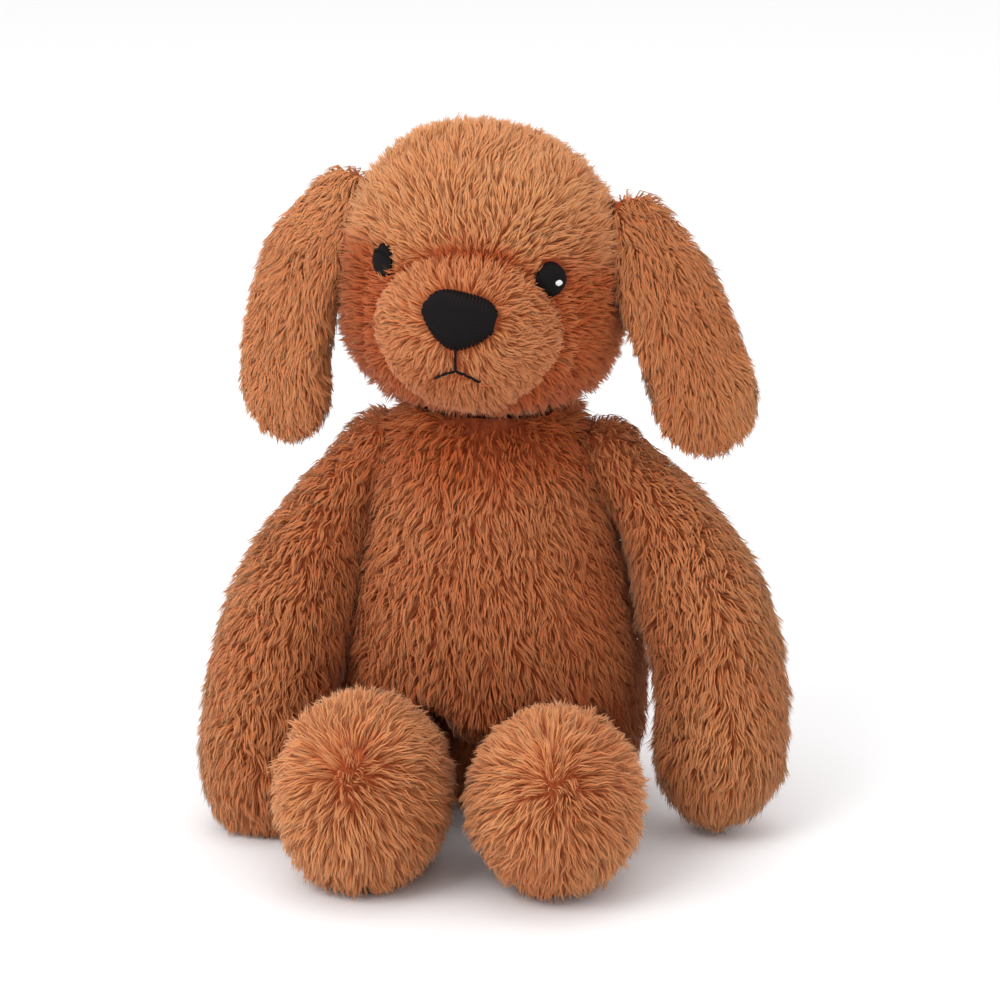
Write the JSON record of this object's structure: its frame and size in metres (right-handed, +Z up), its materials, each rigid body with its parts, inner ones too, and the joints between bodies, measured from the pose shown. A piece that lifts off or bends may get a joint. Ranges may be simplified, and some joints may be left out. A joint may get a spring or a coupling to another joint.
{
  "type": "plush dog",
  "caption": "Sitting stuffed plush dog with hanging ears, a short muzzle, long jointless arms and legs held forward, all soft and movable at the seams",
  "frame": {"origin": "on the floor, under the middle of the flat seat", "axes": "+Z up, the dog faces -Y, its own left side is +X"},
  "size_m": [0.2035, 0.2071, 0.2469],
  "materials": {
    "head_plush": "long soft pile, warm ginger brown, lighter tips",
    "limb_plush": "long soft pile, ginger brown",
    "body_plush": "long soft pile, deeper rust brown",
    "thread": "near-black satin-stitch embroidery",
    "glint": "white satin-stitch embroidery",
    "filling": "white polyester fibre filling",
    "pouch": "unbleached bag filled with plastic pellets",
    "label": "blank white satin ribbon"
  },
  "bodies": {
    "torso": {"torso_front_panel": "body_plush", "torso_back_panel": "body_plush", "torso_seat_panel": "body_plush", "torso_filling": "filling", "seat_pellet_pouch": "pouch", "care_label": "label"},
    "neck_core": {"neck_filling": "filling"},
    "neck_seam": {"neck_stitching": "body_plush"},
    "head": {"face_panel": "head_plush", "head_back_panel": "head_plush", "head_left_panel": "head_plush", "head_right_panel": "head_plush", "head_filling": "filling", "nose_embroidery": "thread", "mouth_embroidery": "thread", "left_eye": "thread", "left_eye_glint": "glint", "right_eye": "thread", "right_eye_glint": "glint"},
    "left_ear": {"left_ear_front_panel": "head_plush", "left_ear_back_panel": "head_plush"},
    "left_shoulder": {"left_shoulder_wad": "filling"},
    "left_arm": {"left_arm_front_panel": "limb_plush", "left_arm_back_panel": "limb_plush", "left_arm_filling": "filling"},
    "left_hip": {"left_hip_wad": "filling"},
    "left_leg": {"left_leg_outer_panel": "limb_plush", "left_leg_inner_panel": "limb_plush", "left_foot_sole": "limb_plush", "left_leg_filling": "filling"},
    "right_ear": {"right_ear_front_panel": "head_plush", "right_ear_back_panel": "head_plush"},
    "right_shoulder": {"right_shoulder_wad": "filling"},
    "right_arm": {"right_arm_front_panel": "limb_plush", "right_arm_back_panel": "limb_plush", "right_arm_filling": "filling"},
    "right_hip": {"right_hip_wad": "filling"},
    "right_leg": {"right_leg_outer_panel": "limb_plush", "right_leg_inner_panel": "limb_plush", "right_foot_sole": "limb_plush", "right_leg_filling": "filling"},
    "tail": {"tail_left_panel": "limb_plush", "tail_right_panel": "limb_plush", "tail_filling": "filling"}
  },
  "joints": [
    {"name": "head_turn", "type": "hinge", "parent": "torso", "child": "neck_core", "pos_m": [0, 0, 0.1435], "axis": [0, 0, 1], "range_deg": [-40, 40], "stiffness_Nm_per_rad": 0.4},
    {"name": "head_nod", "type": "hinge", "parent": "neck_core", "child": "neck_seam", "pos_m": [0, 0, 0.1435], "axis": [0.9976, -0.0698, 0], "range_deg": [-18, 20], "stiffness_Nm_per_rad": 0.6},
    {"name": "head_tilt", "type": "hinge", "parent": "neck_seam", "child": "head", "pos_m": [0, 0, 0.1435], "axis": [0.0698, 0.9976, 0], "range_deg": [-10, 10], "stiffness_Nm_per_rad": 0.6},
    {"name": "left_ear_lift", "type": "hinge", "parent": "head", "child": "left_ear", "pos_m": [0.04806, -0.0055, 0.21764], "axis": [-0.0698, -0.9976, 0], "range_deg": [-6, 90], "stiffness_Nm_per_rad": 0.03},
    {"name": "right_ear_lift", "type": "hinge", "parent": "head", "child": "right_ear", "pos_m": [-0.04954, 0.00132, 0.22328], "axis": [0.0698, 0.9976, 0], "range_deg": [-6, 90], "stiffness_Nm_per_rad": 0.03},
    {"name": "left_arm_swing", "type": "hinge", "parent": "torso", "child": "left_shoulder", "pos_m": [0.04, 0, 0.131], "axis": [-0.9877, 0, 0.1564], "range_deg": [-20, 50]},
    {"name": "left_arm_raise", "type": "hinge", "parent": "left_shoulder", "child": "left_arm", "pos_m": [0.04, 0, 0.131], "axis": [0, -0.9613, 0.2756], "range_deg": [0, 28]},
    {"name": "right_arm_swing", "type": "hinge", "parent": "torso", "child": "right_shoulder", "pos_m": [-0.04, 0, 0.131], "axis": [-0.9877, 0, -0.1564], "range_deg": [-20, 42]},
    {"name": "right_arm_raise", "type": "hinge", "parent": "right_shoulder", "child": "right_arm", "pos_m": [-0.04, 0, 0.131], "axis": [0, 0.9285, -0.3714], "range_deg": [0, 28]},
    {"name": "left_leg_splay", "type": "hinge", "parent": "torso", "child": "left_hip", "pos_m": [0.03, -0.036, 0.026], "axis": [0, 0, 1], "range_deg": [-3, 14]},
    {"name": "left_leg_raise", "type": "hinge", "parent": "left_hip", "child": "left_leg", "pos_m": [0.03, -0.036, 0.026], "axis": [-0.9986, -0.0523, 0], "range_deg": [-90, 20]},
    {"name": "right_leg_splay", "type": "hinge", "parent": "torso", "child": "right_hip", "pos_m": [-0.03, -0.036, 0.026], "axis": [0, 0, -1], "range_deg": [-3, 14]},
    {"name": "right_leg_raise", "type": "hinge", "parent": "right_hip", "child": "right_leg", "pos_m": [-0.03, -0.036, 0.026], "axis": [-0.9986, 0.0523, 0], "range_deg": [-90, 20]},
    {"name": "tail_wag", "type": "hinge", "parent": "torso", "child": "tail", "pos_m": [0, 0.048, 0.03], "axis": [0, 0, 1], "range_deg": [-30, 30], "stiffness_Nm_per_rad": 0.02}
  ]
}
